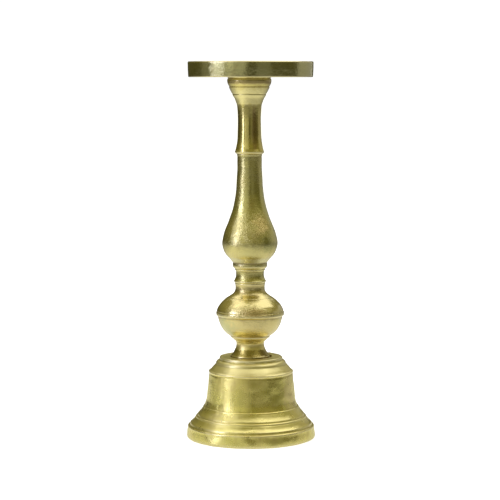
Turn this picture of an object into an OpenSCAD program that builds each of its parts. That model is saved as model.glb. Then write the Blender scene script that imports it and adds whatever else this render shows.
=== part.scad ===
// Pillar candle holder: turned brass castings stacked on a steel tie rod.
// Millimetres, +Z up, origin on the axis at the plane that the bell stands on.
// Outlines are lists of [radius, height] points, each from its section's lower joint face upwards.

/* [Overall] */
// Height from the foot of the bell to the rim of the pan; the neck takes up the change
total_h = 305; // [300:1:312]

/* [Pan] */
// Outer diameter of the pan
pan_d = 101; // [90:1:120]
// Height of the pan, underside to rim
pan_h = 12.6; // [10:0.2:16]
// Thickness of the pan's upright wall
pan_wall = 3; // [2:0.5:4]
// Thickness of the pan's floor
pan_floor = 3.2; // [3.2:0.2:4]

/* [Stem] */
// Diameter of the capital under the pan
capital_d = 35.6; // [33:0.2:39]
// Diameter at the narrowest place of the neck
neck_d = 18.6; // [18:0.2:21]
// Diameter of the vase's belly
vase_d = 44.9; // [42:0.1:50]
// Diameter of the knop over its rib
knop_d = 55.2; // [53:0.2:60]
// Metal left round the cored hollows of the vase and the knop
cast_wall = 4.5; // [4:0.5:6]

/* [Bell] */
// Outer diameter of the bell at its foot
base_d = 104.8; // [103:0.2:110]
// Height of the bell
bell_h = 66.4; // [66:0.2:70]
// Metal thickness of the bell's skirt
bell_wall = 3.5; // [3:0.5:4.5]

/* [Fastening] */
// Nominal thread diameter of the tie rod and its nut
rod_d = 8; // [6:1:8]
// Length of the tie rod
rod_l = 200; // [196:1:206]
// Diameter of the spigots that centre one section on the next
spigot_d = 13; // [12:0.5:14]
// Length of those spigots
spigot_l = 3.5; // [3:0.5:4]
// Nominal thread diameter of the pan screw
screw_d = 6; // [5:1:6]
// Length of the pan screw, head included
screw_l = 18; // [14:1:22]

/* [Hidden] */
$fn = 96;
brass = "#a89a4e";
steel = "#b4b6b4";
eps = 0.01;
fit_gap = 0.1;                      // radial gap of a spigot in its socket
thread_gap = 0.05;                  // radial gap where a thread engages
rod_clear = 0.4;                    // radial gap of the rod in the sections it only passes through

// Section heights and joint planes, from the bell upwards
foot_h = 13;
knop_h = 47;
spool_h = 11.4;
vase_h = 93.2;
neck_h = total_h - bell_h - foot_h - knop_h - spool_h - vase_h - pan_h;
foot_z = bell_h;
knop_z = foot_z + foot_h;
spool_z = knop_z + knop_h;
vase_z = spool_z + spool_h;
neck_z = vase_z + vase_h;
pan_z = neck_z + neck_h;

pan_r = pan_d / 2;
capital_r = capital_d / 2;
neck_r = neck_d / 2;
vase_r = vase_d / 2;
knop_r = knop_d / 2;
base_r = base_d / 2;
rod_r = rod_d / 2;
screw_r = screw_d / 2;
spigot_r = spigot_d / 2;

seat_r = 16.8;                      // shallow seat in the bell's top, a little wider than the foot
seat_depth = 1.8;
bell_top_t = 5.5;                   // metal at the top of the bell

washer_d = 3 * rod_d;               // wide flat washer
washer_t = rod_d / 4;
spring_washer_d = 1.85 * rod_d;
spring_washer_t = rod_d / 4;
nut_flats = 1.625 * rod_d;
nut_h = 0.8125 * rod_d;
pitch = 0.156 * rod_d;
thread_l = 26;                      // threaded length at each end of the rod

washer_z = bell_h - bell_top_t - washer_t;
spring_washer_z = washer_z - spring_washer_t;
nut_z = spring_washer_z - nut_h;
rod_z = nut_z - 4.5;                // the rod shows 4.5 mm below the nut

// Points along a circular arc about centre c, from angle a0 to angle a1 in degrees
function arc(c, r, a0, a1, n = 5) =
    [for (i = [0:n]) c + r * [cos(a0 + (a1 - a0) * i / n), sin(a0 + (a1 - a0) * i / n)]];

// Point at t from b to c on the curve through a, b, c and d
function between(a, b, c, d, t) =
    0.5 * (2 * b + (c - a) * t + (2 * a - 5 * b + 4 * c - d) * t * t
        + (3 * b - a - 3 * c + d) * t * t * t);

// A smooth curve through the points p, with n steps between each two
function smooth(p, n = 4) =
    let (last = len(p) - 1)
    concat(
        [for (i = [0:last - 1])
            let (a = i > 0 ? p[i - 1] : 2 * p[0] - p[1])
            let (d = i < last - 1 ? p[i + 2] : 2 * p[last] - p[last - 1])
            for (k = [0:n - 1]) between(a, p[i], p[i + 1], d, k / n)],
        [p[last]]
    );

// A solid turned from an outline that runs up the outside; it is closed along the axis
module turned(outline) {
    top = outline[len(outline) - 1];
    rotate_extrude()
        polygon(concat([[0, outline[0][1]]], outline, [[0, top[1]]]));
}

module spigot() {
    translate([0, 0, -spigot_l])
        cylinder(r = spigot_r, h = spigot_l + eps);
}

// A socket sunk into a top face at height z
module socket(z) {
    translate([0, 0, z - spigot_l - 0.2])
        cylinder(r = spigot_r + fit_gap, h = spigot_l + 0.2 + eps);
}

// Straight hole along the axis from z0 to z1
module bore(r, z0, z1) {
    translate([0, 0, z0])
        cylinder(r = r, h = z1 - z0);
}

// Outside of the neck: ring, shaft, coned capital with two turned grooves and a thin lip
function neck_outline() =
    let (cone = neck_h - 21)
    concat(
        [[10.7, 0], [11.4, 0.5]],
        arc([10.9, 1.7], 0.9, -50, 45, 4),
        [[11.2, 3.4], [11, 4]],
        smooth([
            [10.95, 4.3], [10.6, 6], [10.2, 8], [9.9, 10.2], [neck_r + 0.35, 12.8],
            [neck_r + 0.15, 0.42 * cone], [neck_r, 0.62 * cone], [neck_r + 0.08, 0.78 * cone],
            [neck_r + 0.6, cone - 2], [neck_r + 1.3, cone + 0.6],
            [neck_r + 2.5, cone + 3.9], [neck_r + 3.9, cone + 6.2], [capital_r - 4.2, cone + 7.1]
        ], 4),
        [[capital_r - 4.35, cone + 7.5], [capital_r - 4, cone + 7.9]],
        smooth([
            [capital_r - 3.6, cone + 8.4], [capital_r - 2.7, cone + 10.2],
            [capital_r - 1.95, cone + 11.8], [capital_r - 1.45, cone + 12.9]
        ], 3),
        [
            [capital_r - 1.8, cone + 13.3], [capital_r - 1.5, cone + 13.8],
            [capital_r - 0.85, cone + 15], [capital_r - 0.3, cone + 16.3], [capital_r, cone + 17.9],
            [capital_r - 0.05, cone + 19], [capital_r - 0.35, cone + 19.8],
            [capital_r - 0.75, cone + 20.1], [capital_r - 0.25, cone + 21]
        ]
    );

// Outside of the vase: collar ring, belly, long taper to the neck ring
function vase_outline() =
    concat(
        [[12.2, 0], [12.3, 0.3]],
        smooth([[12.5, 0.6], [13.2, 1.1], [13.75, 1.8], [14, 2.8], [13.95, 4.4]], 3),
        [[13.7, 5]],
        smooth([
            [14.2, 5.8], [16.7, 8.7], [vase_r - 3.1, 11.7], [vase_r - 1.2, 15.2], [vase_r, 20.4],
            [vase_r - 0.65, 25.6], [vase_r - 2.5, 32], [vase_r - 6.2, 41.2], [vase_r - 9.15, 50.4],
            [vase_r - 11.1, 60.4], [vase_r - 12, 71], [vase_r - 12.5, 80.5], [9.8, 88]
        ], 5),
        [[9.85, 91.3], [10.2, 92.3], [10.2, vase_h]]
    );

// Outside of the spool: waist below the collar, ring below it
function spool_outline() =
    concat(
        [[12.3, 0], [12.35, 0.6]],
        arc([12.1, 1.6], 0.95, -60, 50, 4),
        smooth([
            [12.5, 2.5], [11.85, 4.1], [11.5, 5.8], [11.4, 7.8], [11.55, 9.8]
        ], 4),
        [[12.2, 10.6], [12.3, spool_h]]
    );

// Outside of the knop: grooved foot, bowl, rib, domed shoulder with one groove, short neck
function knop_outline() =
    concat(
        [[12.6, 0]],
        smooth([[13, 0.3], [13.5, 0.8], [13.8, 1.3]], 2),
        smooth([[14.1, 1.5], [15.3, 2.3], [16.1, 3.4], [16.1, 4.1]], 3),
        smooth([
            [17.2, 4.6], [19.5, 6.4], [22.2, 9.3], [24.3, 12.8], [25.6, 16.7], [26.3, 20]
        ], 5),
        arc([knop_r - 0.9, 21.6], 0.9, -60, 0, 3),
        arc([knop_r - 1.1, 23], 1.1, 0, 60, 3),
        smooth([
            [27.15, 24.4], [26.4, 26.4], [24.8, 29.2], [22.4, 31.9], [20.4, 33.8], [19.2, 34.8]
        ], 5),
        [[18.6, 35.2], [18.1, 35.3]],
        smooth([
            [17.8, 35.7], [16.1, 36.8], [14.1, 38.2], [12.7, 39.8], [12.05, 41.8], [11.95, 44.2]
        ], 4),
        [[12.1, 45.6], [12.3, 46.3], [12.3, knop_h]]
    );

// Outside of the foot: flares down to a bead that stands in the bell's seat
function foot_outline() =
    concat(
        [[15.3, -seat_depth], [15.5, -0.6]],
        arc([14.7, 0.4], 1, -30, 60, 4),
        smooth([
            [14.6, 1.9], [13.6, 3.4], [12.4, 5.8], [11.6, 8.2], [11.3, 10.2], [11.6, 11.8], [12.3, 13]
        ], 4)
    );

// Outside of the bell: lip, three stepped coves, wall, stepped shoulder, flat top with the seat
function bell_outline() =
    concat(
        arc([base_r - 1.8, 1.8], 1.8, -90, 0, 6),
        [[base_r - 0.2, 4], [base_r - 0.85, 8.4]],
        arc([base_r - 1.8, 9.5], 0.9, -10, 110, 5),
        [[base_r - 2.6, 10.7], [base_r - 2.9, 11.6]],
        smooth([
            [base_r - 3.1, 12.4], [base_r - 4.4, 13.4], [base_r - 5.7, 14.8], [base_r - 6.8, 16.4]
        ], 4),
        arc([base_r - 8.2, 17.3], 0.9, -20, 100, 5),
        [[base_r - 8.8, 18.5], [base_r - 9, 19.4]],
        smooth([
            [base_r - 9.4, 19.9], [base_r - 10.5, 21.1], [base_r - 11.8, 22.7], [base_r - 13, 24.6]
        ], 4),
        arc([base_r - 14.2, 25.3], 0.8, -10, 100, 5),
        smooth([
            [base_r - 14.5, 26.5], [base_r - 14.9, 27.6], [base_r - 15.5, 29.4],
            [base_r - 16.3, 33.4], [base_r - 18.3, 52]
        ], 3),
        [[base_r - 18.5, 52.9], [base_r - 18.2, 53.5]],
        arc([base_r - 18.8, 54.3], 0.8, -45, 60, 4),
        [[base_r - 19.2, 55.3], [base_r - 19.8, 55.8]],
        smooth([
            [base_r - 20.1, 56.3], [base_r - 21.3, 57.8], [base_r - 22.7, 59.3], [base_r - 23.8, 60.5]
        ], 4),
        [[base_r - 23.9, 61.1]],
        smooth([[base_r - 24.1, 61.8], [base_r - 25, 62.9], [base_r - 26.3, 63.5]], 3),
        [[base_r - 26.7, 64.1], [base_r - 26.8, bell_h - 1.4]],
        arc([base_r - 28, bell_h - 1.2], 1.2, 0, 90, 5),
        [[seat_r, bell_h], [seat_r, bell_h - seat_depth]]
    );

// Inside of the bell: follows the outside in fewer, plainer steps
function bell_hollow() =
    let (t = bell_wall)
    concat(
        [[base_r - 1 - t, -1], [base_r - 0.9 - t, 1]],
        smooth([
            [base_r - 1.1 - t, 3], [base_r - 2 - t, 7.5], [base_r - 4.6 - t, 11.6],
            [base_r - 8.2 - t, 15.8], [base_r - 11.8 - t, 20.6], [base_r - 15 - t, 27],
            [base_r - 16.3 - t, 35], [base_r - 17.9 - t, 49], [base_r - 19.6 - t, 53.5],
            [base_r - 23.4 - t, 58], [base_r - 26 - t, bell_h - bell_top_t]
        ], 4)
    );

// Cored hollow of the vase
function vase_hollow() =
    smooth([
        [rod_r, 11], [vase_r - cast_wall - 7, 12.6], [vase_r - cast_wall - 1.6, 16.6],
        [vase_r - cast_wall, 21.4], [vase_r - cast_wall - 2, 29.5], [vase_r - cast_wall - 6.8, 42],
        [vase_r - cast_wall - 9.8, 52], [rod_r, 62]
    ], 4);

// Cored hollow of the knop
function knop_hollow() =
    smooth([
        [rod_r, 8.6], [knop_r - cast_wall - 9, 10.4], [knop_r - cast_wall - 3.2, 15],
        [knop_r - cast_wall - 1.6, 21.8], [knop_r - cast_wall - 3.4, 27.4],
        [knop_r - cast_wall - 9, 31.6], [rod_r, 33.6]
    ], 4);

module candle_pan() {
    inner_r = pan_r - pan_wall;
    sink = screw_r;                 // depth of the 90 degree countersink
    color(brass)
        translate([0, 0, pan_z])
            difference() {
                turned(concat(
                    arc([pan_r - 1.1, 0.7], 0.7, -90, 0, 4),
                    [[pan_r - 0.1, pan_h - 6]],
                    arc([pan_r - 0.9, pan_h - 0.9], 0.9, 0, 90, 5),
                    arc([inner_r + 0.5, pan_h - 0.5], 0.5, 90, 180, 4),
                    arc([inner_r - 2.6, pan_floor + 2.5], 2.5, 0, -90, 5)
                ));
                bore(screw_r + 0.3, -1, pan_floor + 1);
                translate([0, 0, pan_floor - sink + 0.1])
                    cylinder(r1 = screw_r, r2 = 2 * screw_r, h = sink + eps);
            }
}

// Slotted countersunk screw, its head flush with the pan's floor
module pan_screw() {
    head_h = screw_r;
    top = pan_floor - 0.1;
    color(brass)
        translate([0, 0, pan_z])
            difference() {
                turned([
                    [screw_r - 1, top - screw_l], [screw_r - thread_gap, top - screw_l + 1],
                    [screw_r - thread_gap, top - head_h + 0.05],
                    [2 * screw_r - 0.3, top - 0.2], [2 * screw_r - 0.4, top]
                ]);
                translate([-screw_d, -0.8, top - 1.3])
                    cube([2 * screw_d, 1.6, 2]);
            }
}

module neck() {
    tapped = screw_l - pan_floor + 2;
    color(brass)
        translate([0, 0, neck_z])
            difference() {
                union() {
                    turned(neck_outline());
                    spigot();
                }
                bore(rod_r, -spigot_l - 1, rod_z + rod_l - neck_z + 2);
                bore(screw_r, neck_h - tapped, neck_h + 1);
            }
}

module vase() {
    color(brass)
        translate([0, 0, vase_z])
            difference() {
                union() {
                    turned(vase_outline());
                    spigot();
                }
                bore(rod_r + rod_clear, -spigot_l - 1, vase_h + 1);
                socket(vase_h);
                turned(vase_hollow());
            }
}

module spool() {
    color(brass)
        translate([0, 0, spool_z])
            difference() {
                union() {
                    turned(spool_outline());
                    spigot();
                }
                bore(rod_r + rod_clear, -spigot_l - 1, spool_h + 1);
                socket(spool_h);
            }
}

module knop() {
    color(brass)
        translate([0, 0, knop_z])
            difference() {
                union() {
                    turned(knop_outline());
                    spigot();
                }
                bore(rod_r + rod_clear, -spigot_l - 1, knop_h + 1);
                socket(knop_h);
                turned(knop_hollow());
            }
}

module foot() {
    color(brass)
        translate([0, 0, foot_z])
            difference() {
                union() {
                    turned(foot_outline());
                    translate([0, 0, -seat_depth])
                        spigot();
                }
                bore(rod_r + rod_clear, -seat_depth - spigot_l - 1, foot_h + 1);
                socket(foot_h);
            }
}

module bell_base() {
    color(brass)
        difference() {
            turned(bell_outline());
            turned(bell_hollow());
            bore(spigot_r + fit_gap, bell_h - bell_top_t - 1, bell_h + 1);
        }
}

// Double-ended stud; the thread is drawn as ring grooves of the right pitch
module tie_rod() {
    r = rod_r - thread_gap;
    root = r - 0.6 * pitch;
    turns = floor(thread_l / pitch);
    upper = rod_l - 1 - turns * pitch;
    color(steel)
        translate([0, 0, rod_z])
            turned(concat(
                [[root, 0]],
                [for (i = [0:turns - 1]) each [[r, 1 + (i + 0.1) * pitch],
                    [r, 1 + (i + 0.3) * pitch], [root, 1 + (i + 0.8) * pitch]]],
                [[r, 1 + turns * pitch], [r, upper]],
                [for (i = [0:turns - 1]) each [[root, upper + (i + 0.2) * pitch],
                    [r, upper + (i + 0.7) * pitch], [r, upper + (i + 0.9) * pitch]]],
                [[root, rod_l]]
            ));
}

module base_washer() {
    color(steel)
        translate([0, 0, washer_z])
            difference() {
                turned([
                    [washer_d / 2 - 0.4, 0], [washer_d / 2, 0.4],
                    [washer_d / 2, washer_t - 0.1], [washer_d / 2 - 0.1, washer_t]
                ]);
                bore(rod_r + 0.2, -1, washer_t + 1);
            }
}

// Split ring, closed flat by the nut, cut at a slant
module spring_washer() {
    color(steel)
        translate([0, 0, spring_washer_z])
            difference() {
                cylinder(d = spring_washer_d, h = spring_washer_t);
                bore(rod_r + 0.1, -1, spring_washer_t + 1);
                translate([rod_r + 2, 0, spring_washer_t / 2])
                    rotate([20, 0, 0])
                        cube([2 * rod_r, 0.8, 4 * spring_washer_t], center = true);
            }
}

// Hexagon nut with both faces chamfered
module base_nut() {
    corner_r = nut_flats / sqrt(3);
    edge = corner_r - nut_flats / 2;
    color(steel)
        translate([0, 0, nut_z])
            difference() {
                intersection() {
                    cylinder(r = corner_r, h = nut_h, $fn = 6);
                    turned([
                        [corner_r - edge, 0], [corner_r, 0.6 * edge],
                        [corner_r, nut_h - 0.6 * edge], [corner_r - edge, nut_h]
                    ]);
                }
                bore(rod_r, -1, nut_h + 1);
            }
}

candle_pan();
pan_screw();
neck();
vase();
spool();
knop();
foot();
bell_base();
tie_rod();
base_washer();
spring_washer();
base_nut();
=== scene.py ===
"""Looks for a turned brass pillar candle holder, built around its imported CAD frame.

Every turned brass section is lathed again from the outline of its own CAD node, with rounded
edges, hand-polished waviness, wandering grooves and casting pits. The tie rod gets a real thread,
and the other hardware stays as it is in the CAD, with softened edges. Metres, +Z up, CAD frame.
"""
import math
from collections import namedtuple

import bmesh
import bpy
import numpy as np
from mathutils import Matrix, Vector


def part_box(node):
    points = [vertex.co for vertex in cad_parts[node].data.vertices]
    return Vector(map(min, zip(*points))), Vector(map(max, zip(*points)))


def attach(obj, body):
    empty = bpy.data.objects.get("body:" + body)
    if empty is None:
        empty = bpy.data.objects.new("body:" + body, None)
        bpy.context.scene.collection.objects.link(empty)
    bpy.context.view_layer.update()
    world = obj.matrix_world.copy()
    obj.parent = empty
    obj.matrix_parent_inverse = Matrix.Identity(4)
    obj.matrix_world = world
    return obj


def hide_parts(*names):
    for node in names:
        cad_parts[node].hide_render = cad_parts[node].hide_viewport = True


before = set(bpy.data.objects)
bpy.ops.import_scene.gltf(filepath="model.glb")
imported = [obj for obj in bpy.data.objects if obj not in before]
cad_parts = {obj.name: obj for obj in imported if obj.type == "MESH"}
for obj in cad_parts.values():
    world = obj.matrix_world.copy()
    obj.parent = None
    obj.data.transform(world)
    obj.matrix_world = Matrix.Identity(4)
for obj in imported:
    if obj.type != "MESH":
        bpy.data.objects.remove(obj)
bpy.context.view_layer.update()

MM = 0.001

# ---------------------------------------------------------------- outlines of the CAD nodes

WELD = 1e-3 * MM          # vertices this close are one
CUT_TURN = 0.013          # angle of the cutting plane, just off the seam at zero
SNAP = 0.06 * MM          # a cut point this near a true outline point is that point
CORNER = math.radians(17) # a sharper turn is a corner, anything less is part of a curve
LONG = 2.6                # a line this many times its neighbour's length is straight, not curved
DENSE = 0.05 * MM         # spacing of the outline while it is worked on


def cut_points(node):
    """A CAD node cut by a half plane through its axis.

    Gives the cut's unordered (r, z) segments, and the (r, z) of each of the node's own points.
    """
    bm = bmesh.new()
    bm.from_mesh(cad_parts[node].data)
    bmesh.ops.remove_doubles(bm, verts=bm.verts, dist=WELD)
    true_points = {(round(math.hypot(v.co.x, v.co.y), 7), round(v.co.z, 7)) for v in bm.verts}
    out = Vector((math.cos(CUT_TURN), math.sin(CUT_TURN), 0))
    side = Vector((-out.y, out.x, 0))
    everything = bm.verts[:] + bm.edges[:] + bm.faces[:]
    cut = bmesh.ops.bisect_plane(bm, geom=everything, plane_co=(0, 0, 0), plane_no=side)
    segments = []
    for edge in cut["geom_cut"]:
        if not isinstance(edge, bmesh.types.BMEdge):
            continue
        (ra, za), (rb, zb) = [(v.co.dot(out), v.co.z) for v in edge.verts]
        if ra < 0 and rb < 0:
            continue
        if ra < 0 or rb < 0:
            t = ra / (ra - rb)
            crossing = (0.0, za + t * (zb - za))
            (ra, za), (rb, zb) = (crossing, (rb, zb)) if ra < 0 else ((ra, za), crossing)
        segments.append(((ra, za), (rb, zb)))
    bm.free()
    return segments, np.array(sorted(true_points))


def chain(segments):
    """The segments joined end to end, from the axis if they touch it."""
    ends = {}
    for i, pair in enumerate(segments):
        for p in pair:
            ends.setdefault((round(p[0] / WELD), round(p[1] / WELD)), []).append(i)

    def near(p):
        """The segments that have an end at p."""
        a, b = round(p[0] / WELD), round(p[1] / WELD)
        found = []
        for da in (-1, 0, 1):
            for db in (-1, 0, 1):
                found += ends.get((a + da, b + db), [])
        return found

    on_axis = [p for pair in segments for p in pair if p[0] == 0]
    here = max(on_axis, key=lambda p: p[1]) if on_axis else segments[0][0]
    line, used = [here], set()
    while True:
        nexts = [i for i in near(here) if i not in used]
        if not nexts:
            return line
        used.add(nexts[0])
        a, b = segments[nexts[0]]
        here = b if math.dist(a, here) < math.dist(b, here) else a
        line.append(here)


def outline_of(node):
    """The corner points (r, z) of a turned CAD node's half section, in order, and if it's a loop."""
    segments, true_points = cut_points(node)
    points = []
    for p in chain(segments):
        gap = np.hypot(*(true_points - p).T)
        best = int(gap.argmin())
        if p[0] == 0:
            q = (0.0, float(true_points[np.abs(true_points[:, 1] - p[1]).argmin(), 1]))
        elif gap[best] < SNAP:
            q = tuple(true_points[best])
        else:
            continue
        if not points or math.dist(points[-1], q) > WELD:
            points.append(q)
    closed = points[0][0] > 0
    if closed and math.dist(points[0], points[-1]) < WELD:
        points.pop()
    return np.array(points), closed


def by_length(points, step, closed):
    """Points along a polyline at an even spacing near step."""
    line = np.vstack([points, points[:1]]) if closed else points
    along = np.concatenate([[0], np.cumsum(np.hypot(*np.diff(line, axis=0).T))])
    count = max(4, int(round(along[-1] / step)))
    at = np.linspace(0, along[-1], count + 1)
    if closed:
        at = at[:-1]
    return np.stack([np.interp(at, along, line[:, k]) for k in (0, 1)], 1)


def curved(points, closed):
    """The polyline with its gentle turns drawn as one smooth curve; sharp corners stay sharp."""
    before = np.roll(points, 1, 0)
    after = np.roll(points, -1, 0)
    back, ahead = points - before, after - points
    turn = np.arctan2(back[:, 0] * ahead[:, 1] - back[:, 1] * ahead[:, 0], (back * ahead).sum(1))
    corner = np.abs(turn) > CORNER
    la, lb = np.hypot(*back.T), np.hypot(*ahead.T)
    if not closed:
        corner[[0, -1]] = True
    straight_back, straight_ahead = back / la[:, None], ahead / lb[:, None]
    slope = (straight_back * lb[:, None] + straight_ahead * la[:, None]) / (la + lb)[:, None]
    slope = np.where((la > LONG * lb)[:, None], straight_back, slope)
    slope = np.where((lb > LONG * la)[:, None], straight_ahead, slope)
    dense = []
    last = len(points) if closed else len(points) - 1
    for i in range(last):
        j = (i + 1) % len(points)
        p, q, length = points[i], points[j], lb[i]
        straight = (q - p) / length
        m = straight if corner[i] else slope[i]
        n = straight if corner[j] else slope[j]
        t = np.linspace(0, 1, max(2, int(length / DENSE)), endpoint=False)[:, None]
        dense.append(
            (2 * t**3 - 3 * t**2 + 1) * p + (t**3 - 2 * t**2 + t) * length * m
            + (3 * t**2 - 2 * t**3) * q + (t**3 - t**2) * length * n
        )
    if not closed:
        dense.append(points[-1:])
    return by_length(np.vstack(dense), DENSE, closed)


def blurred(line, sigma, closed):
    """The dense outline rounded by a Gaussian of sigma metres along its length."""
    reach = int(4 * sigma / DENSE) + 1
    weight = np.exp(-0.5 * (np.arange(-reach, reach + 1) * DENSE / sigma) ** 2)
    weight /= weight.sum()
    padded = np.pad(line, ((reach, reach), (0, 0)), mode="wrap" if closed else "edge")
    return np.stack([np.convolve(padded[:, k], weight, mode="valid") for k in (0, 1)], 1)


def normals_of(line, closed):
    """Unit outward normals of an outline, and 1 or -1 for the way round that it runs."""
    ahead = np.roll(line, -1, 0) - np.roll(line, 1, 0)
    if not closed:
        ahead[0], ahead[-1] = line[1] - line[0], line[-1] - line[-2]
    ahead /= np.maximum(np.hypot(*ahead.T), 1e-12)[:, None]
    r, z = line.T
    area = (r * np.roll(z, -1) - np.roll(r, -1) * z).sum()
    side = 1 if area > 0 else -1
    return side * np.stack([ahead[:, 1], -ahead[:, 0]], 1), side


# ---------------------------------------------------------------- relief of a hand-finished casting

WIDE_ROUND = 1.1 * MM      # a wide Gaussian, which says where the outline bulges or dips
DIP = 0.35 * MM            # how far wide and narrow rounding part at a plain square corner
RING_TURN = math.radians(13)    # the outline turns no further than this from ring to ring
FACES_AXIS = -0.25         # radial part of the normal, on a surface that looks at the axis
BORE_R = 6 * MM            # relief and lean fade out below this radius, so bores stay true
BORE_FADE = 2 * MM
ON_SKIN = 0.9              # above this share of the fade, a point counts as outside the bores
STEM_LEAN = -0.0036        # sideways drift of the stem per unit of height
LEAN_FROM = 50 * MM

BROAD_WAVE = 11 * MM       # typical lengths of the waviness left by hand polishing,
FINE_WAVE = 2.6 * MM       # of its ripple,
WANDER_WAVE = 7 * MM       # and of the up and down wander of turned grooves and ribs
WANDER_STRETCH = (1, 1, 0.5)
PIT_ARM = 30 * MM          # turns an angle into a length, to find the point nearest to a pit

CORED_IN = -0.2            # parts of the normal, radial and upward, below which a wall is as cast
CORED_DOWN = -0.4
RIM_HEIGHT = 3 * MM        # the bell's rim below this height was turned
MARKS = ("crevice", "edge", "inside")


def waves(points, wavelength, seed, count=24):
    """A smooth random field over (n, 3) points, of rms 1, with one typical wavelength."""
    rng = np.random.default_rng(seed)
    heading = rng.normal(size=(count, 3))
    heading /= np.linalg.norm(heading, axis=1)[:, None]
    turns = rng.uniform(0.7, 1.4, count) / wavelength
    phase = rng.uniform(0, math.tau, count)
    total = np.zeros(len(points))
    for h, k, p in zip(heading, turns, phase):
        total += np.sin(points @ (h * k * math.tau) + p)
    return total / math.sqrt(count / 2)


def smooth_step(value, low, high):
    """0 up to low, 1 from high, and a smooth rise between them."""
    t = np.clip((value - low) / (high - low), 0, 1)
    return t * t * (3 - 2 * t)


def pits(points, skin, spots):
    """How deep each point lies in round pits; a spot is (azimuth, height, radius, depth)."""
    depth = np.zeros(len(points))
    azimuth = np.arctan2(points[:, 0], -points[:, 1])
    for turn, height, radius, deep in spots:
        apart = np.abs((azimuth - turn + math.pi) % math.tau - math.pi) * PIT_ARM
        score = apart + np.abs(points[:, 2] - height) + np.where(skin > ON_SKIN, 0, 1)
        centre = points[score.argmin()]
        gap = np.linalg.norm(points - centre, axis=1)
        depth += deep * np.exp(-((gap / radius) ** 2))
    return depth


def scattered(seed, count, low, high, radius, depth):
    """Spots for pits() at random between two heights."""
    rng = np.random.default_rng(seed)
    return [
        (
            rng.uniform(-math.pi, math.pi), rng.uniform(low, high),
            radius * rng.uniform(0.6, 1.4), depth * rng.uniform(0.3, 1.2),
        )
        for _ in range(count)
    ]


def choose_rings(line, normal, fine, coarse):
    """Which points of the dense outline become rings: more of them round its corners."""
    heading = np.unwrap(np.arctan2(normal[:, 1], normal[:, 0]))
    turn = np.abs(np.diff(heading, prepend=heading[0]))
    step = np.where((normal[:, 0] < FACES_AXIS) | (line[:, 0] < BORE_R), coarse, fine)
    progress = np.cumsum(DENSE / step + turn / RING_TURN)
    at = np.linspace(progress[0], progress[-1], int(progress[-1]))
    return np.unique(np.clip(np.searchsorted(progress, at), 0, len(line) - 1))


def lathe_faces(rings, around, closed, flip):
    """Quads between neighbouring rings of points."""
    i = np.arange(rings if closed else rings - 1)[:, None]
    j = np.arange(around)[None, :]
    up, on = (i + 1) % rings, (j + 1) % around
    quads = np.stack([
        i * around + j, i * around + on, up * around + on, up * around + j
    ], -1).reshape(-1, 4)
    return quads[:, ::-1] if flip else quads


def mesh_object(name, points, faces, poles=()):
    """A smooth-shaded mesh object; each pole is a run of points that become one."""
    mesh = bpy.data.meshes.new(name)
    mesh.from_pydata(points.tolist(), [], faces.tolist())
    if poles:
        bm = bmesh.new()
        bm.from_mesh(mesh)
        bm.verts.ensure_lookup_table()
        for start, stop in poles:
            bmesh.ops.pointmerge(bm, verts=bm.verts[start:stop], merge_co=Vector(points[start]))
            bm.verts.ensure_lookup_table()
        bmesh.ops.dissolve_degenerate(bm, dist=1e-9, edges=bm.edges)
        bm.to_mesh(mesh)
        bm.free()
    mesh.polygons.foreach_set("use_smooth", np.ones(len(mesh.polygons), bool))
    piece = bpy.data.objects.new(name, mesh)
    bpy.context.scene.collection.objects.link(piece)
    return piece


def turned(node, seed, around, step, inner_step, shift=0.0, lean=0.0, edge=0.2, polish=0.03,
           ripple=0.008, wander=0.05, spots=(), rough_inside=False):
    """One turned section, lathed from its CAD node's outline and given its relief.

    It has around points in a ring. Its rings are step mm apart, or inner_step mm in the bores and
    on surfaces that look at the axis. The sideways shift, the rounding of its edges and the
    strengths of its polish, ripple and wander are in millimetres too.
    """
    points, closed = outline_of(node)
    dense = curved(points, closed)
    line = blurred(dense, edge * MM, closed)
    if not closed:
        line[[0, -1], 0] = 0
    normal, side = normals_of(line, closed)
    dip = ((blurred(dense, WIDE_ROUND, closed) - line) * normal).sum(1) / DIP
    pick = choose_rings(line, normal, step * MM, inner_step * MM)
    line, normal, dip = line[pick], normal[pick], dip[pick]
    turn = np.arange(around) / around * math.tau
    out = np.stack([np.sin(turn), -np.cos(turn), np.zeros(around)], 1)
    axis = np.array([0, 0, 1.0])
    flat = (line[:, None, :1] * out + line[:, None, 1:] * axis).reshape(-1, 3)
    facing = (normal[:, None, :1] * out + normal[:, None, 1:] * axis).reshape(-1, 3)
    along = (-normal[:, None, 1:] * out + normal[:, None, :1] * axis).reshape(-1, 3)
    radius = np.repeat(line[:, 0], around)
    skin = smooth_step(radius, BORE_R, BORE_R + BORE_FADE)
    relief = polish * waves(flat, BROAD_WAVE, seed) + ripple * waves(flat, FINE_WAVE, seed + 1)
    drift = wander * waves(flat * WANDER_STRETCH, WANDER_WAVE, seed + 2)
    height = (relief * MM - pits(flat, skin, spots)) * skin
    final = flat + facing * height[:, None] + along * (drift * MM * skin)[:, None]
    final[:, 0] += (shift * MM + lean * (flat[:, 2] - LEAN_FROM)) * skin
    ring_count = len(line)
    faces = lathe_faces(ring_count, around, closed, side < 0)
    last = ring_count * around
    poles = () if closed else ((last - around, last), (0, around))
    piece = mesh_object(f"turned_{node}", final, faces, poles)
    under = (normal[:, 1] < CORED_DOWN) & (line[:, 1] > RIM_HEIGHT)
    cored = ((normal[:, 0] < CORED_IN) | under) * rough_inside
    for label, value in zip(MARKS, (np.clip(dip, 0, 1), np.clip(-dip, 0, 1), cored)):
        spread = np.repeat(value.astype(np.float32), around)
        if not closed:
            spread = spread[around - 1:last - around + 1]
        attribute = piece.data.attributes.new(label, "FLOAT", "POINT")
        attribute.data.foreach_set("value", spread)
    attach(piece, "root")
    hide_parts(node)
    return piece


# ---------------------------------------------------------------- shader helpers

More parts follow.
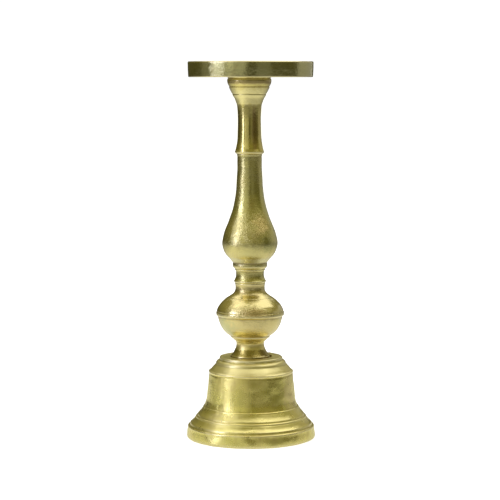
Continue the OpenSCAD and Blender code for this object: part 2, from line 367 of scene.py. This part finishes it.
def add(tree, kind, values=None, **settings):
    """A shader node with its settings and with sockets set to values or linked."""
    node = tree.nodes.new("ShaderNode" + kind)
    for key, value in settings.items():
        setattr(node, key, value)
    for socket, value in (values or {}).items():
        if isinstance(value, bpy.types.NodeSocket):
            tree.links.new(value, node.inputs[socket])
        else:
            node.inputs[socket].default_value = value
    return node


def noise(tree, place, size, stretch=(1, 1, 1), detail=2.0, roughness=0.5):
    """Noise from 0 to 1 whose grains are about size millimetres across."""
    scale = [s / (size * MM) for s in stretch]
    spread = add(tree, "Mapping", {"Vector": place, "Scale": scale})
    return add(tree, "TexNoise", {
        "Vector": spread.outputs[0], "Scale": 1.0, "Detail": detail, "Roughness": roughness,
    }).outputs["Fac"]


def fit(tree, value, low, high, start=0.0, stop=1.0):
    """value from low..high brought to start..stop and held there."""
    return add(tree, "MapRange", {
        "Value": value, "From Min": low, "From Max": high, "To Min": start, "To Max": stop,
    }).outputs[0]


def calc(tree, what, a, b=0.0, c=0.0):
    """One step of arithmetic on sockets or plain numbers."""
    return add(tree, "Math", {0: a, 1: b, 2: c}, operation=what).outputs[0]


def mixed(tree, factor, a, b):
    """Colour a where factor is 0 and b where it is 1."""
    node = add(tree, "Mix", {"Factor": factor}, data_type="RGBA")
    for socket, value in ((node.inputs[6], a), (node.inputs[7], b)):
        if isinstance(value, bpy.types.NodeSocket):
            tree.links.new(value, socket)
        else:
            socket.default_value = (*value, 1)
    return node.outputs[2]


def tinted(tree, body, where, strength, colour):
    """The body colour brought towards another colour, by where (0 to 1) times strength."""
    return mixed(tree, calc(tree, "MULTIPLY", where, strength), body, colour)


def mark(tree, label):
    """A value that turned() stored on the mesh's points."""
    return add(tree, "Attribute", attribute_name=label).outputs["Fac"]


def new_metal(name):
    """An empty metal, its node tree and shader, and its place in the row frame."""
    material = bpy.data.materials.new(name)
    material.use_nodes = True
    tree = material.node_tree
    shader = tree.nodes["Principled BSDF"]
    shader.inputs["Metallic"].default_value = 1.0
    place = add(tree, "TexCoord").outputs["Object"]
    return material, tree, shader, place


def dress(piece, material):
    """The piece wears this material and no other."""
    piece.data.materials.clear()
    piece.data.materials.append(material)


# ---------------------------------------------------------------- marks on one part of a section

# A patch lies at an azimuth in degrees (0 is the front, + is to the right). How far out and how far
# up it lies are shares of its CAD node's radius and height. Its size is in millimetres, and it is
# tall times as high as it is wide. A ring goes right round, and reaches half mm up and down.
Patch = namedtuple("Patch", "azimuth out up size tall", defaults=(1.0,))
Ring = namedtuple("Ring", "up half")

PATCH_RAG, PATCH_RAG_SIZE = 1.6, 3.5    # how ragged its edge is, and the size of the tatters in mm
PATCH_EDGE = (1.0, 0.45)                # shares of its size between which a patch fades in
RING_RAG, RING_RAG_SIZE = 1.2, 4
RING_EDGE = (1.1, 0.7)


def height_on(node, share):
    """The height that is a share of the way up a CAD node."""
    bottom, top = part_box(node)
    return bottom.z + share * (top.z - bottom.z)


def blotch(tree, place, node, patch):
    """1 within a patch of a section and 0 outside it, with a ragged edge."""
    turn = math.radians(patch.azimuth)
    out = patch.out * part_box(node)[1].x
    centre = (out * math.sin(turn), -out * math.cos(turn), height_on(node, patch.up))
    off = add(tree, "VectorMath", {0: place, 1: centre}, operation="SUBTRACT").outputs[0]
    size = patch.size * MM
    scaled = (1 / size, 1 / size, 1 / (size * patch.tall))
    off = add(tree, "VectorMath", {0: off, 1: scaled}, operation="MULTIPLY").outputs[0]
    away = add(tree, "VectorMath", {0: off}, operation="LENGTH").outputs["Value"]
    tatters = noise(tree, place, PATCH_RAG_SIZE, (1, 1, 1 / patch.tall), detail=3)
    ragged = calc(tree, "MULTIPLY_ADD", tatters, PATCH_RAG, -PATCH_RAG / 2)
    return fit(tree, calc(tree, "ADD", away, ragged), *PATCH_EDGE)


def band(tree, place, node, ring):
    """1 within a ring round a section and 0 outside it, with a ragged edge."""
    z = add(tree, "SeparateXYZ", {0: place}).outputs["Z"]
    away = calc(tree, "ABSOLUTE", calc(tree, "SUBTRACT", z, height_on(node, ring.up)))
    tatters = noise(tree, place, RING_RAG_SIZE, detail=3)
    ragged = calc(tree, "MULTIPLY_ADD", tatters, RING_RAG, -RING_RAG / 2)
    away = calc(tree, "ADD", calc(tree, "DIVIDE", away, ring.half * MM), ragged)
    return fit(tree, away, *RING_EDGE)


# ---------------------------------------------------------------- brass

# Golden colour of the bell's painted reflection on its right.
REFLECTION_GOLD = (0.88, 0.75, 0.30)
BROWN = (0.54, 0.40, 0.15)
TARNISH = (0.25, 0.185, 0.07)
# Bright brass of the convex edges: real wear, lightened further as a painted highlight along them.
WORN_AND_HIGHLIGHT_EDGE = (0.94, 0.84, 0.44)
SAND_CAST = (0.42, 0.31, 0.12)

MOTTLE = 0.35             # how far the two base colours run either way from a section's warmth
BROWNING = 0.4            # share of brown in the darker patches
FLECKS = 0.3              # share of brown in the specks of the grain
RUBBED_AND_HIGHLIGHT = 0.85             # share of bright brass on the edges: worn, and brightened more as a painted highlight
CORED = 0.75              # share of sand-cast brown where nothing was turned

POLISH_RANGE = (-0.04, 0.07)
DIRT_DULLS = 0.2          # what dirt, specks and cored walls add to the roughness
FLECKS_DULL = 0.35
CORED_DULLS = 0.28

COARSE_DEEP = 0.10        # depths of the relief in the shader, in millimetres
FINE_DEEP = 0.014
DENTS_DEEP = 0.09
STREAKS_DEEP = 0.035
LINES_DEEP = 0.02
SAND_DEEP = 0.25


def brass_relief(tree, place, node, amount, inside, grain, lines, streaks, rough):
    """The bump of a cast and turned section: grain, dents, streaks, lathe lines and sand."""
    coarse = noise(tree, place, 0.55, detail=2, roughness=0.55)
    fine = noise(tree, place, 0.24, detail=2)
    dents = noise(tree, place, 2.4, detail=1)
    streak = noise(tree, place, 0.7, stretch=(1, 1, 0.05), detail=2)
    line = noise(tree, place, 0.35, stretch=(0.02, 0.02, 1), detail=2)
    for extra, patch in rough:
        amount = calc(tree, "MULTIPLY_ADD", blotch(tree, place, node, patch), extra, amount)
    height = calc(tree, "MULTIPLY", calc(tree, "MULTIPLY", coarse, amount), COARSE_DEEP * MM)
    for value, depth in (
        (fine, FINE_DEEP * grain), (dents, DENTS_DEEP),
        (streak, STREAKS_DEEP * streaks), (line, LINES_DEEP * lines),
    ):
        height = calc(tree, "MULTIPLY_ADD", value, depth * MM, height)
    sand = calc(tree, "MULTIPLY", noise(tree, place, 1.1, detail=4, roughness=0.7), inside)
    height = calc(tree, "MULTIPLY_ADD", sand, SAND_DEEP * MM, height)
    return add(tree, "Bump", {"Height": height, "Strength": 1.0, "Distance": 1.0}).outputs[0]


def cast_brass(name, node, colours, grain=1.0, lines=0.0, streaks=0.2, base_roughness=0.2,
               warmth=0.5, grime=0.75, stains_and_painted_light=(), rough=(), painted_bands=()):
    """Aged yellow brass: mottled colour, cast grain, turning lines and polishing streaks.

    A stain is (colour, strength, Patch), a real stain or painted light and shade; a rough patch is
    (extra grain, Patch); and a band is (colour, strength, added roughness, Ring), a ring of painted
    light and shade.
    """
    material, tree, shader, place = new_metal(name)
    crevice, edge, inside = [mark(tree, label) for label in MARKS]
    broad = noise(tree, place, 26, detail=3)
    patchy = noise(tree, place, 9, stretch=(1, 1, 0.6), detail=4, roughness=0.6)
    speck = noise(tree, place, 0.8, detail=3, roughness=0.65)

    gold = fit(tree, broad, 0.38, 0.62, warmth - MOTTLE, warmth + MOTTLE)
    body = mixed(tree, gold, *colours)
    body = tinted(tree, body, fit(tree, patchy, 0.54, 0.74), BROWNING, BROWN)
    # Stains: real stains, and also patches of painted reflection and painted shadow.
    for colour, strength, patch in stains_and_painted_light:
        body = tinted(tree, body, blotch(tree, place, node, patch), strength, colour)
    dull = 0.0
    # Bands: rings of painted light and painted shade; only their added roughness belongs to the
    # brass.
    for colour, strength, extra, ring in painted_bands:
        share = band(tree, place, node, ring)
        body = tinted(tree, body, share, strength, colour)
        dull = calc(tree, "MULTIPLY_ADD", share, extra, dull)
    fleck = calc(tree, "MULTIPLY", fit(tree, speck, 0.56, 0.70), FLECKS * grain)
    body = mixed(tree, fleck, body, BROWN)
    dirt = fit(tree, calc(tree, "MULTIPLY_ADD", patchy, 0.5, crevice), 0.33, 0.95)
    dirt = calc(tree, "MULTIPLY", dirt, grime)
    body = mixed(tree, dirt, body, TARNISH)
    # Edges: rubbed bright by wear, and brightened more as a painted highlight.
    body = tinted(tree, body, edge, RUBBED_AND_HIGHLIGHT, WORN_AND_HIGHLIGHT_EDGE)
    body = tinted(tree, body, inside, CORED, SAND_CAST)
    tree.links.new(body, shader.inputs["Base Color"])

    worn = fit(tree, patchy, 0.3, 0.7, *[base_roughness + extra for extra in POLISH_RANGE])
    worn = calc(tree, "ADD", worn, dull)
    for where, extra in ((dirt, DIRT_DULLS), (fleck, FLECKS_DULL), (inside, CORED_DULLS)):
        worn = calc(tree, "MULTIPLY_ADD", where, extra, worn)
    tree.links.new(worn, shader.inputs["Roughness"])

    amount = fit(tree, broad, 0.4, 0.6, 0.35 * grain, 1.3 * grain)
    bump = brass_relief(tree, place, node, amount, inside, grain, lines, streaks, rough)
    tree.links.new(bump, shader.inputs["Normal"])
    return material


# ---------------------------------------------------------------- turned sections, from the top down

def pitted(node, seed, count, low, high, radius, depth):
    """Pits at random between two heights, which are shares of the CAD node's height."""
    low, high = height_on(node, low), height_on(node, high)
    return scattered(seed, count, low, high, radius * MM, depth * MM)


def make_pan():
    """The pan stands a little off the stem's axis, and is the smoothest piece."""
    node = "candle_pan"
    pan = turned(
        node, seed=10, around=320, step=0.5, inner_step=0.5, shift=0.2, edge=0.18, polish=0.015,
        ripple=0.003, wander=0.03, spots=pitted(node, 11, 14, 0, 1, radius=0.4, depth=0.06),
    )
    dress(pan, cast_brass(
        "pan_brass", node, colours=((0.69, 0.66, 0.29), (0.76, 0.71, 0.305)),
        grain=0.3, lines=1.0, base_roughness=0.15,
        rough=((1.9, Patch(-30, out=0.99, up=0.524, size=10, tall=1.2)),),
    ))


def make_neck():
    """The neck has pits in its capital, painted shade on its lip under the pan, a painted pale
    reflection on its cone and a painted dark reflection as a red-brown streak.
    """
    node = "neck"
    # Colours of the painted shadow on the lip, the painted reflection on the cone and the painted
    # dark streak.
    lip_shadow_brown, cone_reflection_pale, dark_reflection_streak = (0.46, 0.34, 0.11), (0.98, 0.88, 0.40), (0.50, 0.34, 0.14)
    neck = turned(
        node, seed=20, around=160, step=0.38, inner_step=3, lean=STEM_LEAN, edge=0.15,
        polish=0.025, ripple=0.003, wander=0.09,
        spots=pitted(node, 21, 30, 0.76, 0.9, radius=0.45, depth=0.12),
    )
    dress(neck, cast_brass(
        "neck_brass", node, colours=((0.79, 0.69, 0.22), (0.89, 0.75, 0.25)),
        grain=0.35, streaks=1.0, base_roughness=0.17,
        # Painted reflection: a red-brown streak where the brass reflects a dark part of the room.
        stains_and_painted_light=((dark_reflection_streak, 0.65, Patch(20, out=0.562, up=0.378, size=3, tall=9)),),
        painted_bands=(
            # Painted shade: the lip under the pan is coloured brown as the pan's shadow.
            (lip_shadow_brown, 0.85, 0.12, Ring(up=0.954, half=2.5)),
            # Painted reflection: the cone is coloured pale as the bright table reflected in it.
            (cone_reflection_pale, 0.85, 0, Ring(up=0.763, half=7)),
        ),
    ))


def make_vase():
    """The vase has a golden patch above an olive one, coarse grain, and a dull band low down that is
    painted pale as a reflection.
    """
    node = "vase"
    rubbed_gold, deep_olive, pale_reflection_paint = (0.98, 0.79, 0.32), (0.52, 0.51, 0.19), (0.82, 0.78, 0.44)
    rubbed_patch = Patch(31, out=0.891, up=0.431, size=10)
    vase = turned(
        node, seed=30, around=192, step=0.5, inner_step=3, lean=STEM_LEAN, edge=0.16,
        polish=0.04, ripple=0.006, wander=0.04,
        spots=pitted(node, 31, 40, 0.05, 0.65, radius=0.45, depth=0.05),
    )
    dress(vase, cast_brass(
        "vase_brass", node, colours=((0.72, 0.665, 0.25), (0.81, 0.71, 0.27)),
        grain=1.25, streaks=0.3, warmth=0.35,
        stains_and_painted_light=(
            (rubbed_gold, 0.95, rubbed_patch),
            (deep_olive, 0.75, Patch(42, out=0.935, up=0.255, size=8)),
        ),
        rough=(
            (2.2, Patch(12, out=0.891, up=0.39, size=14, tall=1.6)),
            (0.6, Patch(-50, out=0.891, up=0.576, size=12, tall=2)),
            (1.5, rubbed_patch),
        ),
        # Painted reflection: a pale band low down, in place of the deep yellow of brass reflected in
        # brass; its added roughness is real.
        painted_bands=((pale_reflection_paint, 0.7, 0.06, Ring(up=0.105, half=3)),),
    ))


def make_spool():
    """The spool is plain."""
    node = "spool"
    spool = turned(
        node, seed=40, around=176, step=0.32, inner_step=3, lean=STEM_LEAN, edge=0.14,
        polish=0.02, ripple=0.004,
    )
    dress(spool, cast_brass(
        "spool_brass", node, colours=((0.74, 0.685, 0.25), (0.83, 0.73, 0.27)),
        grain=1.1, streaks=0.3, warmth=0.35,
    ))


def make_knop():
    """The knop has a brown, gritty stretch along its rib, and is duller below, where it is painted
    pale as a reflection.
    """
    node = "knop"
    rib_brown, low_olive, pale_reflection_paint = (0.50, 0.35, 0.10), (0.66, 0.65, 0.30), (0.84, 0.74, 0.40)
    knop = turned(
        node, seed=50, around=256, step=0.42, inner_step=3, lean=STEM_LEAN, edge=0.16,
        polish=0.04, wander=0.08, spots=pitted(node, 51, 90, 0.12, 0.78, radius=0.5, depth=0.09),
    )
    dress(knop, cast_brass(
        "knop_brass", node, colours=((0.77, 0.70, 0.30), (0.84, 0.71, 0.30)),
        grain=0.6, warmth=0.8, grime=0.65,
        stains_and_painted_light=(
            (rib_brown, 0.7, Patch(8, out=0.96, up=0.576, size=13, tall=0.3)),
            (low_olive, 0.85, Patch(-55, out=0.797, up=0.339, size=12)),
        ),
        rough=(
            (3.4, Patch(2, out=0.96, up=0.576, size=15, tall=0.35)),
            (2.4, Patch(10, out=0.87, up=0.319, size=13, tall=0.6)),
        ),
        # Painted reflection: a pale band low down, in place of the deep yellow of brass reflected in
        # brass; its added roughness is real.
        painted_bands=((pale_reflection_paint, 0.75, 0.08, Ring(up=0.141, half=3)),),
    ))


def make_foot():
    """The foot is the darkest section, its colours darkened as painted shade, with a painted shadow
    on its right and a painted highlight round its top.
    """
    node = "foot"
    # Colours of the painted shadow and of the painted highlight band.
    shadow_brown, top_highlight_paint = (0.22, 0.16, 0.05), (1.0, 0.85, 0.33)
    foot = turned(
        node, seed=60, around=192, step=0.34, inner_step=3, lean=STEM_LEAN, edge=0.18,
        ripple=0.006,
    )
    dress(foot, cast_brass(
        # Colours darkened as painted shade, for the dark room that the foot reflects.
        "foot_brass", node, colours=((0.46, 0.375, 0.105), (0.56, 0.455, 0.135)),
        grain=0.8, streaks=0.3, base_roughness=0.22, warmth=0.9,
        # Painted shadow on the right of the foot.
        stains_and_painted_light=((shadow_brown, 0.8, Patch(48, out=0.829, up=0.404, size=6)),),
        # Painted highlight: a pale band round the top of the foot.
        painted_bands=((top_highlight_paint, 0.95, 0.10, Ring(up=0.787, half=3)),),
    ))


def make_bell():
    """The bell is satin, with paler rings of painted light, a painted golden reflection on its
    right, and left as cast inside.
    """
    node = "bell_base"
    # Colours of the rings of painted light on the wall, the shoulder step and the rim.
    wall_painted_light, step_painted_light, rim_painted_light = (0.97, 0.86, 0.36), (0.98, 0.88, 0.42), (1.0, 0.92, 0.50)
    bell = turned(
        node, seed=70, around=288, step=0.74, inner_step=1.4, shift=0.5, edge=0.22, polish=0.05,
        ripple=0.004, wander=0.07, rough_inside=True,
        spots=pitted(node, 71, 30, 0.06, 0.96, radius=0.5, depth=0.06),
    )
    dress(bell, cast_brass(
        "bell_brass", node, colours=((0.85, 0.77, 0.22), (0.92, 0.79, 0.25)),
        grain=0.45, lines=0.8, base_roughness=0.26, warmth=0.4, grime=0.42,
        stains_and_painted_light=(
            # Painted reflection: a golden patch on the right, for the light reflected from behind on
            # that side.
            (REFLECTION_GOLD, 0.9, Patch(62, out=0.725, up=0.602, size=12, tall=1.6)),
            (BROWN, 0.3, Patch(70, out=0.725, up=0.512, size=8, tall=1.3)),
        ),
        rough=(
            (2.0, Patch(-52, out=0.706, up=0.572, size=13, tall=1.6)),
            (1.8, Patch(-40, out=0.84, up=0.301, size=12, tall=0.5)),
        ),
        # Painted light: paler rings on the coves, the shoulder and the rim, in place of more light
        # from above; their added roughness is real.
        painted_bands=(
            (wall_painted_light, 0.5, 0.03, Ring(up=0.271, half=8)),
            (step_painted_light, 0.8, 0.10, Ring(up=0.889, half=5.5)),
            (rim_painted_light, 0.8, 0.08, Ring(up=0.997, half=1.8)),
        ),
    ))


for make in (make_pan, make_neck, make_vase, make_spool, make_knop, make_foot, make_bell):
    make()


# ---------------------------------------------------------------- tie rod with its real thread

PITCH = 1.25 * MM           # M8 coarse
THREAD_DEPTH = 0.7 * MM
THREAD_LENGTH = 26 * MM     # at each end of the rod
THREAD_STEPS = 10           # rings of points in each turn of the thread
ROD_AROUND = 48
CHAMFER = 0.8 * MM          # at both tips of the rod
FLANK = 2.6                 # how fast the groove rises from its middle, over one turn
GROOVE_FLOOR = 1.15         # above 1, so that the groove has a flat floor


def thread_levels(low, high):
    """The rod's rings of points: close together along its threads, far apart between them."""
    step = PITCH / THREAD_STEPS
    first, chamfered, plain = 0.3 * MM, 0.5 * MM, THREAD_LENGTH + 1 * MM
    return np.concatenate([
        [low, low + first],
        np.arange(low + chamfered, low + THREAD_LENGTH, step),
        np.linspace(low + plain, high - plain, 12),
        np.arange(high - THREAD_LENGTH, high - chamfered, step),
        [high - first, high],
    ])


def threaded_rod(node):
    """The tie rod with a helical thread at each end instead of the CAD node's ring grooves."""
    low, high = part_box(node)
    crest = (high.x - low.x) / 2
    levels = thread_levels(low.z, high.z)
    turn = np.arange(ROD_AROUND) / ROD_AROUND * math.tau
    end = np.minimum(levels - low.z, high.z - levels)
    run_out = smooth_step(end, THREAD_LENGTH - 2 * PITCH, THREAD_LENGTH - PITCH)
    depth = THREAD_DEPTH * (1 - run_out)
    taper = CHAMFER * (1 - smooth_step(end, 0, CHAMFER))
    phase = (levels[:, None] / PITCH - turn[None, :] / math.tau) % 1
    groove = np.clip(GROOVE_FLOOR - np.abs(phase - 0.5) * FLANK, 0, 1)
    radius = crest - groove * depth[:, None]
    radius = np.minimum(radius, crest - taper[:, None])
    heights = np.broadcast_to(levels[:, None], radius.shape)
    points = np.stack([radius * np.sin(turn), -radius * np.cos(turn), heights], -1).reshape(-1, 3)
    last = len(points)
    centres = np.array([[0, 0, low.z], [0, 0, high.z]])
    faces = lathe_faces(len(levels), ROD_AROUND, False, False).tolist()
    for j in range(ROD_AROUND):
        k = (j + 1) % ROD_AROUND
        faces.append([last, k, j])
        faces.append([last + 1, last - ROD_AROUND + j, last - ROD_AROUND + k])
    rod = mesh_object("threaded_tie_rod", np.vstack([points, centres]), np.array(faces, object))
    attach(rod, "root")
    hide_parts(node)
    return rod


# ---------------------------------------------------------------- hardware

SCREW_PALE, SCREW_DEEP = (0.80, 0.66, 0.26), (0.66, 0.50, 0.17)
ZINC_DARK, ZINC_LIGHT = (0.50, 0.52, 0.53), (0.70, 0.71, 0.70)
LATHE_RINGS = 900.0         # scale of the wave texture, whose rings then lie about 0.35 mm apart
SOFTEN_ABOVE = math.radians(30)


def bright_brass(name):
    """The pan screw: newer turned brass with rings from the lathe on its head."""
    material, tree, shader, place = new_metal(name)
    patchy = noise(tree, place, 4, detail=3)
    tree.links.new(mixed(tree, patchy, SCREW_PALE, SCREW_DEEP), shader.inputs["Base Color"])
    tree.links.new(fit(tree, patchy, 0.3, 0.7, 0.2, 0.34), shader.inputs["Roughness"])
    values = {"Vector": place, "Scale": LATHE_RINGS, "Distortion": 1.5, "Detail": 1.0}
    rings = add(tree, "TexWave", values, wave_type="RINGS", rings_direction="Z").outputs["Fac"]
    bump = add(tree, "Bump", {"Height": rings, "Strength": 0.4, "Distance": 0.004 * MM})
    tree.links.new(bump.outputs[0], shader.inputs["Normal"])
    return material


def zinc_steel(name):
    """Zinc-plated steel: cool grey with a faint mottle and a little dulling."""
    material, tree, shader, place = new_metal(name)
    mottle = noise(tree, place, 3.5, detail=4, roughness=0.6)
    scuff = noise(tree, place, 0.5, stretch=(1, 1, 0.3), detail=3)
    tree.links.new(mixed(tree, mottle, ZINC_DARK, ZINC_LIGHT), shader.inputs["Base Color"])
    tree.links.new(fit(tree, mottle, 0.3, 0.7, 0.28, 0.46), shader.inputs["Roughness"])
    bump = add(tree, "Bump", {"Height": scuff, "Strength": 0.5, "Distance": 0.01 * MM})
    tree.links.new(bump.outputs[0], shader.inputs["Normal"])
    return material


def carry(node, material, width):
    """A CAD node stays as it is, with its material and its edges softened by width mm."""
    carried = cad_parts[node]
    dress(carried, material)
    weld = carried.modifiers.new("weld", "WELD")
    weld.merge_threshold = WELD
    soften = carried.modifiers.new("soften", "BEVEL")
    soften.width = width * MM
    soften.segments = 2
    soften.limit_method = "ANGLE"
    soften.angle_limit = SOFTEN_ABOVE


rod = threaded_rod("tie_rod")
steel = zinc_steel("zinc_plate")
dress(rod, steel)
carry("pan_screw", bright_brass("screw_brass"), width=0.12)
carry("base_nut", steel, width=0.15)
carry("base_washer", steel, width=0.1)
carry("spring_washer", steel, width=0.12)


# ---------------------------------------------------------------- lights

COOL = (0.98, 1.0, 1.62)
SOFT = (1.0, 1.0, 1.18)
WHITE = (1, 1, 1)
AIM_HEIGHT = 0.16           # metres, a little above the middle of the holder

# Azimuth and elevation are in degrees as seen from the holder: azimuth 0 is the camera's side, and
# + is to the right. The distance, width and height are in metres.
Light = namedtuple("Light", "name azimuth elevation distance width height radiance colour")
LIGHTS = (
    Light("key_strip", -65, 19, 2.2, 0.60, 1.85, 1.35, COOL),
    Light("key_core", -64, 20, 2.1, 0.26, 1.3, 1.5, COOL),
    Light("key_spill", -50, 17, 2.4, 1.5, 2.0, 0.18, WHITE),
    Light("left_fill", -88, 15, 2.6, 1.2, 2.0, 0.07, WHITE),
    Light("front_left", -26, 9, 2.6, 1.7, 1.9, 0.24, WHITE),
    Light("front_right", 24, 4, 2.6, 1.2, 1.1, 0.07, WHITE),
    Light("right_fill", 121, 6, 2.6, 2.6, 1.3, 0.18, SOFT),
    Light("right_edge", 151, 3, 2.6, 0.24, 0.9, 0.42, SOFT),
    Light("back_right", 158, 36, 2.4, 0.8, 1.2, 0.40, SOFT),
    Light("right_high", 68, 34, 2.4, 1.9, 0.7, 0.16, WHITE),
    Light("left_high", -72, 50, 2.2, 1.7, 0.9, 0.40, SOFT),
    Light("overhead", 160, 76, 1.5, 2.5, 2.0, 0.78, SOFT),
)


def softbox(wanted):
    """A flat soft light that faces the middle of the holder."""
    a, e = math.radians(wanted.azimuth), math.radians(wanted.elevation)
    aim = Vector((math.sin(a) * math.cos(e), -math.cos(a) * math.cos(e), math.sin(e)))
    light = bpy.data.lights.new(wanted.name, "AREA")
    light.shape = "RECTANGLE"
    light.size = wanted.width
    light.size_y = wanted.height
    light.energy = wanted.radiance * 4 * wanted.width * wanted.height
    light.color = wanted.colour
    lamp = bpy.data.objects.new(wanted.name, light)
    lamp.location = Vector((0, 0, AIM_HEIGHT)) + aim * wanted.distance
    lamp.rotation_euler = aim.to_track_quat("Z", "Y").to_euler()
    lamp.visible_camera = False
    bpy.context.scene.collection.objects.link(lamp)


for wanted in LIGHTS:
    softbox(wanted)


# ---------------------------------------------------------------- floor and table

FLOOR_R = 30.0
FLOOR_Z = -0.12 * MM            # about as low as the waviness of the bell's rim reaches
PAPER_WHITE = 0.9
PAPER_GLOW = (0.78, 1.0)        # by the holder, and far from it
PAPER_SHADE = (0.05, 0.5)       # distances between which the glow grows

TABLE_R = 2.5
TABLE_Z = -0.2 * MM
TABLE_COLOUR = (1.0, 0.99, 0.94, 1)
TABLE_FAR = 0.18
POOL = 0.62
POOL_CENTRE = (-0.04, 0.15, 0)
POOL_REACH = 0.43
NEAR_SHADE = (0.05, 0.2, 0.68, 1.0)     # two distances, and the share of the pool that each gets
GLINT = 0.55
GLINT_AZIMUTH = -68
GLINT_AWAY = 0.81
GLINT_LENGTH = 0.70
GLINT_WIDTH = 0.28


def disc(name, radius, height, material):
    """A flat round plate of the stage."""
    bm = bmesh.new()
    bmesh.ops.create_circle(bm, cap_ends=True, radius=radius, segments=96)
    mesh = bpy.data.meshes.new(name)
    bm.to_mesh(mesh)
    bm.free()
    mesh.materials.append(material)
    plate = bpy.data.objects.new(name, mesh)
    plate.location.z = height
    bpy.context.scene.collection.objects.link(plate)
    return plate


def paper():
    """Matt white paper that glows bright enough to print as white; its glow dims by the holder as a
    painted shadow, over a trace of real shadow.
    """
    material = bpy.data.materials.new("white_paper")
    material.use_nodes = True
    tree = material.node_tree
    shader = tree.nodes["Principled BSDF"]
    shader.inputs["Base Color"].default_value = (PAPER_WHITE, PAPER_WHITE, PAPER_WHITE, 1)
    shader.inputs["Roughness"].default_value = 0.9
    shader.inputs["Emission Color"].default_value = (1, 1, 1, 1)
    place = add(tree, "TexCoord").outputs["Object"]
    far = add(tree, "VectorMath", {0: place}, operation="LENGTH").outputs["Value"]
    # Painted shadow: the paper's glow is dimmer close to the holder.
    glow = fit(tree, far, *PAPER_SHADE, *PAPER_GLOW)
    tree.links.new(glow, shader.inputs["Emission Strength"])
    return material


def pool_of_light(tree, place):
    """A wide pool of light behind the holder, dimmed close to the holder itself."""
    away = add(tree, "VectorMath", {0: place, 1: POOL_CENTRE}, operation="DISTANCE")
    share = calc(tree, "DIVIDE", away.outputs["Value"], POOL_REACH)
    pool = calc(tree, "DIVIDE", POOL, calc(tree, "MULTIPLY_ADD", share, share, 1.0))
    near = add(tree, "VectorMath", {0: place}, operation="LENGTH").outputs["Value"]
    return calc(tree, "MULTIPLY", pool, fit(tree, near, *NEAR_SHADE))


def key_glint(tree, place):
    """The key light's long glint on the table: 1 at its middle, and soft on every side."""
    turn = math.radians(GLINT_AZIMUTH)
    along = (math.sin(turn), -math.cos(turn), 0)
    across = (math.cos(turn), math.sin(turn), 0)
    parts = []
    for direction, middle, reach in ((along, GLINT_AWAY, GLINT_LENGTH), (across, 0.0, GLINT_WIDTH)):
        part = add(tree, "VectorMath", {0: place, 1: direction}, operation="DOT_PRODUCT")
        part = calc(tree, "DIVIDE", calc(tree, "SUBTRACT", part.outputs["Value"], middle), reach)
        parts.append(calc(tree, "MULTIPLY", part, part))
    return calc(tree, "EXPONENT", calc(tree, "MULTIPLY", calc(tree, "ADD", *parts), -1.0))


def lit_table():
    """What the brass sees of the table: its own dim light, the pool and the glint."""
    material = bpy.data.materials.new("table_glow")
    material.use_nodes = True
    tree = material.node_tree
    tree.nodes.clear()
    place = add(tree, "TexCoord").outputs["Object"]
    pool = pool_of_light(tree, place)
    glint = key_glint(tree, place)
    glow = calc(tree, "ADD", calc(tree, "MULTIPLY_ADD", glint, GLINT, pool), TABLE_FAR)
    light = add(tree, "Emission", {"Color": TABLE_COLOUR, "Strength": glow})
    add(tree, "OutputMaterial", {"Surface": light.outputs[0]})
    return material


# The camera sees the floor and not the table, and the brass reflects the table and not the floor.
floor = disc("floor", FLOOR_R, FLOOR_Z, paper())
floor.visible_glossy = False
floor.visible_diffuse = False
table = disc("table", TABLE_R, TABLE_Z, lit_table())
table.visible_camera = False
table.visible_diffuse = False
table.visible_shadow = False


# ---------------------------------------------------------------- room and camera

ROOM_COLOUR = (1.0, 0.93, 0.38, 1)
ROOM_LOW, ROOM_HIGH = 0.06, 0.27        # strength of the room's light below and above
ROOM_RISE = (-0.05, 0.5)                # how high a direction points where those two hold
BACKDROP = 1.05                         # just over white, for the camera only

CAMERA_AWAY = 1453.9 * MM
CAMERA_UP = 294.1 * MM
CAMERA_SIDE = -0.28 * MM
CAMERA_DIP = math.radians(5.541)
SENSOR = 36                             # millimetres, as the camera counts them
FOCAL_LENGTH = 129.88


def room():
    """A dim warm room that the brass reflects, and a white backdrop that only the camera sees."""
    world = bpy.data.worlds.new("room")
    bpy.context.scene.world = world
    world.use_nodes = True
    tree = world.node_tree
    tree.nodes.clear()
    seen = add(tree, "LightPath").outputs["Is Camera Ray"]
    direction = add(tree, "TexCoord").outputs["Generated"]
    up = add(tree, "SeparateXYZ", {0: direction}).outputs["Z"]
    gloom = fit(tree, up, *ROOM_RISE, ROOM_LOW, ROOM_HIGH)
    dim = add(tree, "Background", {"Color": ROOM_COLOUR, "Strength": gloom})
    white = add(tree, "Background", {"Color": (1, 1, 1, 1), "Strength": BACKDROP})
    either = add(tree, "MixShader", {0: seen, 1: dim.outputs[0], 2: white.outputs[0]})
    add(tree, "OutputWorld", {"Surface": either.outputs[0]})


def photographer():
    """The camera, level with the pan and looking slightly down."""
    lens = bpy.data.cameras.new("camera")
    lens.sensor_width = SENSOR
    lens.lens = FOCAL_LENGTH
    camera = bpy.data.objects.new("camera", lens)
    camera.location = (CAMERA_SIDE, -CAMERA_AWAY, CAMERA_UP)
    camera.rotation_euler = (math.radians(90) - CAMERA_DIP, 0, 0)
    bpy.context.scene.collection.objects.link(camera)
    bpy.context.scene.camera = camera


room()
photographer()
bpy.context.scene.view_settings.view_transform = "Standard"
